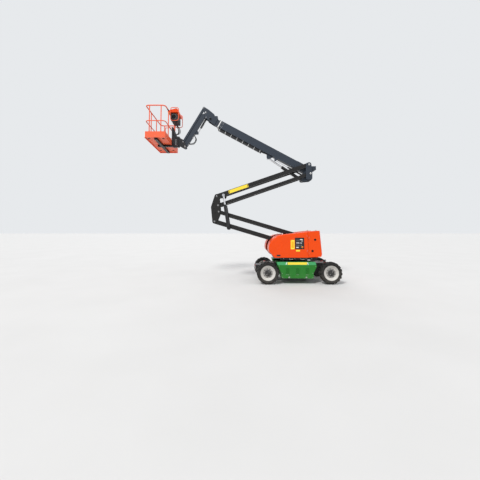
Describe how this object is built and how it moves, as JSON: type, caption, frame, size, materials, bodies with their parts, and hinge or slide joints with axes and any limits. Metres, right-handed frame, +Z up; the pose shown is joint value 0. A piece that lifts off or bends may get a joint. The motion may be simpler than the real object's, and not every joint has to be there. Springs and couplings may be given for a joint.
{
  "type": "articulating boom lift",
  "caption": "Self-propelled articulating boom lift: folding riser, telescopic main boom and hanging jib carry a railed work basket from a slewing turret.",
  "frame": {"origin": "on the ground under the slewing axis", "axes": "+X towards the steered axle and counterweight, +Y to the machine's left, +Z up"},
  "size_m": [6.3454, 1.832, 6.1001],
  "materials": {
    "boom_grey": "satin charcoal paint",
    "hood_orange": "gloss orange paint",
    "weight_orange": "gloss orange paint",
    "basket_red": "satin orange-red",
    "chassis_green": "satin green",
    "frame_dark": "satin black paint",
    "rim_white": "satin off-white",
    "tyre": "matte rubber",
    "ram_black": "satin black paint",
    "chrome_rod": "polished",
    "pin_steel": "turned",
    "black_plastic": "matte",
    "battery_case": "matte"
  },
  "bodies": {
    "chassis": {"chassis_frame": "frame_dark", "slew_ring": "frame_dark", "side_cover_left": "chassis_green", "side_cover_right": "chassis_green", "drive_axle": "frame_dark", "steer_axle": "frame_dark", "steering_cylinder": "frame_dark"},
    "rear_left_wheel": {"tyre_rear_left": "tyre", "wheel_rear_left": "rim_white"},
    "rear_right_wheel": {"tyre_rear_right": "tyre", "wheel_rear_right": "rim_white"},
    "steer_knuckle_left": {"knuckle_left": "frame_dark"},
    "steer_knuckle_right": {"knuckle_right": "frame_dark"},
    "tie_rod": {"tie_rod": "frame_dark"},
    "front_left_wheel": {"tyre_front_left": "tyre", "wheel_front_left": "rim_white"},
    "front_right_wheel": {"tyre_front_right": "tyre", "wheel_front_right": "rim_white"},
    "turret": {"turret_deck": "frame_dark", "turret_frame": "frame_dark", "turret_pins": "pin_steel", "counterweight": "weight_orange", "batteries": "battery_case", "ground_controls": "black_plastic"},
    "hood_left": {"hood_left": "hood_orange"},
    "hood_right": {"hood_right": "hood_orange"},
    "lower_arm": {"lower_arm": "boom_grey"},
    "lower_link": {"lower_link": "boom_grey"},
    "mid_link": {"mid_link": "boom_grey"},
    "upper_arm": {"upper_arm": "boom_grey"},
    "upper_link": {"upper_link": "boom_grey"},
    "top_knuckle": {"top_knuckle": "boom_grey"},
    "riser_ram_barrels": {"riser_ram_barrel": "ram_black"},
    "riser_ram_rods": {"riser_ram_rod": "chrome_rod"},
    "main_boom": {"main_boom": "boom_grey", "hose_tray": "black_plastic"},
    "lift_ram_barrel": {"lift_ram_barrel": "ram_black"},
    "lift_ram_rod": {"lift_ram_rod": "chrome_rod"},
    "level_ram_barrel": {"level_ram_barrel": "ram_black"},
    "level_ram_rod": {"level_ram_rod": "chrome_rod"},
    "fly_boom": {"fly_tube": "boom_grey", "fly_fork": "boom_grey"},
    "nose_bracket": {"nose_bracket": "boom_grey"},
    "jib_boom": {"jib_boom": "boom_grey"},
    "jib_link": {"jib_link": "boom_grey"},
    "jib_end_bracket": {"jib_end_bracket": "frame_dark"},
    "jib_ram_barrel": {"jib_ram_barrel": "ram_black"},
    "jib_ram_rod": {"jib_ram_rod": "chrome_rod"},
    "platform": {"basket_floor": "frame_dark", "toe_boards": "basket_red", "basket_rails": "basket_red", "console": "black_plastic", "basket_mount": "frame_dark"},
    "gate": {"basket_gate": "basket_red"}
  },
  "joints": [
    {"name": "rear_left_wheel_turn", "type": "hinge", "parent": "chassis", "child": "rear_left_wheel", "pos_m": [-1, 0.78, 0.352], "axis": [0, 1, 0], "continuous": true},
    {"name": "rear_right_wheel_turn", "type": "hinge", "parent": "chassis", "child": "rear_right_wheel", "pos_m": [-1, -0.78, 0.352], "axis": [0, 1, 0], "continuous": true},
    {"name": "steer", "type": "hinge", "parent": "chassis", "child": "steer_knuckle_left", "pos_m": [1, 0.6, 0.352], "axis": [0, 0, 1], "range_deg": [-35, 35]},
    {"name": "steer_right", "type": "hinge", "parent": "chassis", "child": "steer_knuckle_right", "pos_m": [1, -0.6, 0.352], "axis": [0, 0, 1], "range_deg": [-35.1, 35.1]},
    {"name": "tie_rod_slide", "type": "slide", "parent": "chassis", "child": "tie_rod", "axis": [0, 1, 0], "range_m": [-0.1058, 0.1058]},
    {"name": "front_left_wheel_turn", "type": "hinge", "parent": "steer_knuckle_left", "child": "front_left_wheel", "pos_m": [1, 0.78, 0.352], "axis": [0, 1, 0], "continuous": true},
    {"name": "front_right_wheel_turn", "type": "hinge", "parent": "steer_knuckle_right", "child": "front_right_wheel", "pos_m": [1, -0.78, 0.352], "axis": [0, 1, 0], "continuous": true},
    {"name": "slew", "type": "hinge", "parent": "chassis", "child": "turret", "pos_m": [0, 0, 0.742], "axis": [0, 0, 1], "range_deg": [-177.5, 177.5]},
    {"name": "hood_left_open", "type": "hinge", "parent": "turret", "child": "hood_left", "pos_m": [0.289, 0.841, 1], "axis": [0, 0, -1], "range_deg": [0, 100]},
    {"name": "hood_right_open", "type": "hinge", "parent": "turret", "child": "hood_right", "pos_m": [0.289, -0.841, 1], "axis": [0, 0, 1], "range_deg": [0, 100]},
    {"name": "riser_lift", "type": "hinge", "parent": "turret", "child": "lower_arm", "pos_m": [0.158, 0, 1.135], "axis": [0, 1, 0], "range_deg": [-16.5, 50.3]},
    {"name": "lower_link_turn", "type": "hinge", "parent": "turret", "child": "lower_link", "pos_m": [0.3, 0, 1.47], "axis": [0, 1, 0], "range_deg": [-16.63, 50.43]},
    {"name": "mid_link_level", "type": "hinge", "parent": "lower_arm", "child": "mid_link", "pos_m": [-2.76, 0, 2.01], "axis": [0, 1, 0], "range_deg": [-50.43, 16.63]},
    {"name": "upper_arm_lift", "type": "hinge", "parent": "mid_link", "child": "upper_arm", "pos_m": [-2.687, 0, 2.878], "axis": [0, 1, 0], "range_deg": [-50.43, 16.63]},
    {"name": "upper_link_turn", "type": "hinge", "parent": "mid_link", "child": "upper_link", "pos_m": [-2.64, 0, 2.563], "axis": [0, 1, 0], "range_deg": [-50.43, 16.63]},
    {"name": "top_knuckle_level", "type": "hinge", "parent": "upper_arm", "child": "top_knuckle", "pos_m": [0.513, 0, 3.987], "axis": [0, 1, 0], "range_deg": [-16.63, 50.43]},
    {"name": "riser_ram_turn", "type": "hinge", "parent": "lower_arm", "child": "riser_ram_barrels", "pos_m": [-2.27675, 0, 1.78679], "axis": [0, 1, 0], "range_deg": [-38.57, 12.72]},
    {"name": "riser_ram_extend", "type": "slide", "parent": "riser_ram_barrels", "child": "riser_ram_rods", "axis": [-0.1547, 0, 0.988], "range_m": [-0.1623, 0.4919]},
    {"name": "boom_lift", "type": "hinge", "parent": "top_knuckle", "child": "main_boom", "pos_m": [0.49, 0, 3.79], "axis": [0, 1, 0], "range_deg": [-27, 38.5]},
    {"name": "lift_ram_turn", "type": "hinge", "parent": "top_knuckle", "child": "lift_ram_barrel", "pos_m": [0.3, 0, 3.47], "axis": [0, 1, 0], "range_deg": [-26.18, 37.27]},
    {"name": "lift_ram_extend", "type": "slide", "parent": "lift_ram_barrel", "child": "lift_ram_rod", "axis": [-0.8342, 0, 0.5514], "range_m": [-0.1662, 0.2366]},
    {"name": "level_ram_turn", "type": "hinge", "parent": "top_knuckle", "child": "level_ram_barrel", "pos_m": [0.345, 0, 3.6], "axis": [0, 1, 0], "range_deg": [-27.32, 38.89]},
    {"name": "level_ram_extend", "type": "slide", "parent": "level_ram_barrel", "child": "level_ram_rod", "axis": [-0.8698, 0, 0.4933], "range_m": [-0.1078, 0.1534]},
    {"name": "telescope", "type": "slide", "parent": "main_boom", "child": "fly_boom", "axis": [-0.8788, 0, 0.4772], "range_m": [0, 1.1]},
    {"name": "nose_level", "type": "hinge", "parent": "fly_boom", "child": "nose_bracket", "pos_m": [-2.93563, 0, 5.64996], "axis": [0, 1, 0], "range_deg": [-38.63, 27.13]},
    {"name": "jib_lift", "type": "hinge", "parent": "nose_bracket", "child": "jib_boom", "pos_m": [-3.10463, 0, 5.88797], "axis": [0, 1, 0], "range_deg": [0, 108]},
    {"name": "jib_link_turn", "type": "hinge", "parent": "nose_bracket", "child": "jib_link", "pos_m": [-3.1758, 0, 6.06413], "axis": [0, 1, 0], "range_deg": [-0.22, 108.22]},
    {"name": "jib_end_level", "type": "hinge", "parent": "jib_boom", "child": "jib_end_bracket", "pos_m": [-3.83041, 0, 4.65583], "axis": [0, 1, 0], "range_deg": [-108.22, 0.22]},
    {"name": "jib_ram_turn", "type": "hinge", "parent": "nose_bracket", "child": "jib_ram_barrel", "pos_m": [-3.09129, 0, 5.71849], "axis": [0, 1, 0], "range_deg": [-0.23, 112.61]},
    {"name": "jib_ram_extend", "type": "slide", "parent": "jib_ram_barrel", "child": "jib_ram_rod", "axis": [-0.463, 0, -0.8864], "range_m": [-0.0006, 0.273]},
    {"name": "platform_turn", "type": "hinge", "parent": "jib_end_bracket", "child": "platform", "pos_m": [-4.09041, 0, 4.98984], "axis": [0, 0, 1], "range_deg": [-90, 90]},
    {"name": "gate_open", "type": "hinge", "parent": "platform", "child": "gate", "pos_m": [-4.79226, 0.896, 5.3], "axis": [0, 0, -1], "range_deg": [0, 95]}
  ],
  "couplings": [
    {"joint": "steer_right", "follows": "steer", "ratio": 1},
    {"joint": "tie_rod_slide", "follows": "steer", "m_per_rad": -0.17},
    {"joint": "lower_link_turn", "follows": "riser_lift", "ratio": 1},
    {"joint": "mid_link_level", "follows": "riser_lift", "ratio": -1},
    {"joint": "upper_arm_lift", "follows": "riser_lift", "ratio": -1},
    {"joint": "upper_link_turn", "follows": "riser_lift", "ratio": -1},
    {"joint": "top_knuckle_level", "follows": "riser_lift", "ratio": 1},
    {"joint": "riser_ram_turn", "follows": "riser_lift", "ratio": -0.7647},
    {"joint": "riser_ram_extend", "follows": "riser_lift", "m_per_rad": 0.5587},
    {"joint": "lift_ram_turn", "follows": "boom_lift", "ratio": 0.9648},
    {"joint": "lift_ram_extend", "follows": "boom_lift", "m_per_rad": 0.3508},
    {"joint": "level_ram_turn", "follows": "boom_lift", "ratio": 1.0068},
    {"joint": "level_ram_extend", "follows": "boom_lift", "m_per_rad": 0.2274},
    {"joint": "nose_level", "follows": "boom_lift", "ratio": -1},
    {"joint": "jib_link_turn", "follows": "jib_lift", "ratio": 1},
    {"joint": "jib_end_level", "follows": "jib_lift", "ratio": -1},
    {"joint": "jib_ram_turn", "follows": "jib_lift", "ratio": 1.0406},
    {"joint": "jib_ram_extend", "follows": "jib_lift", "m_per_rad": 0.1445}
  ]
}
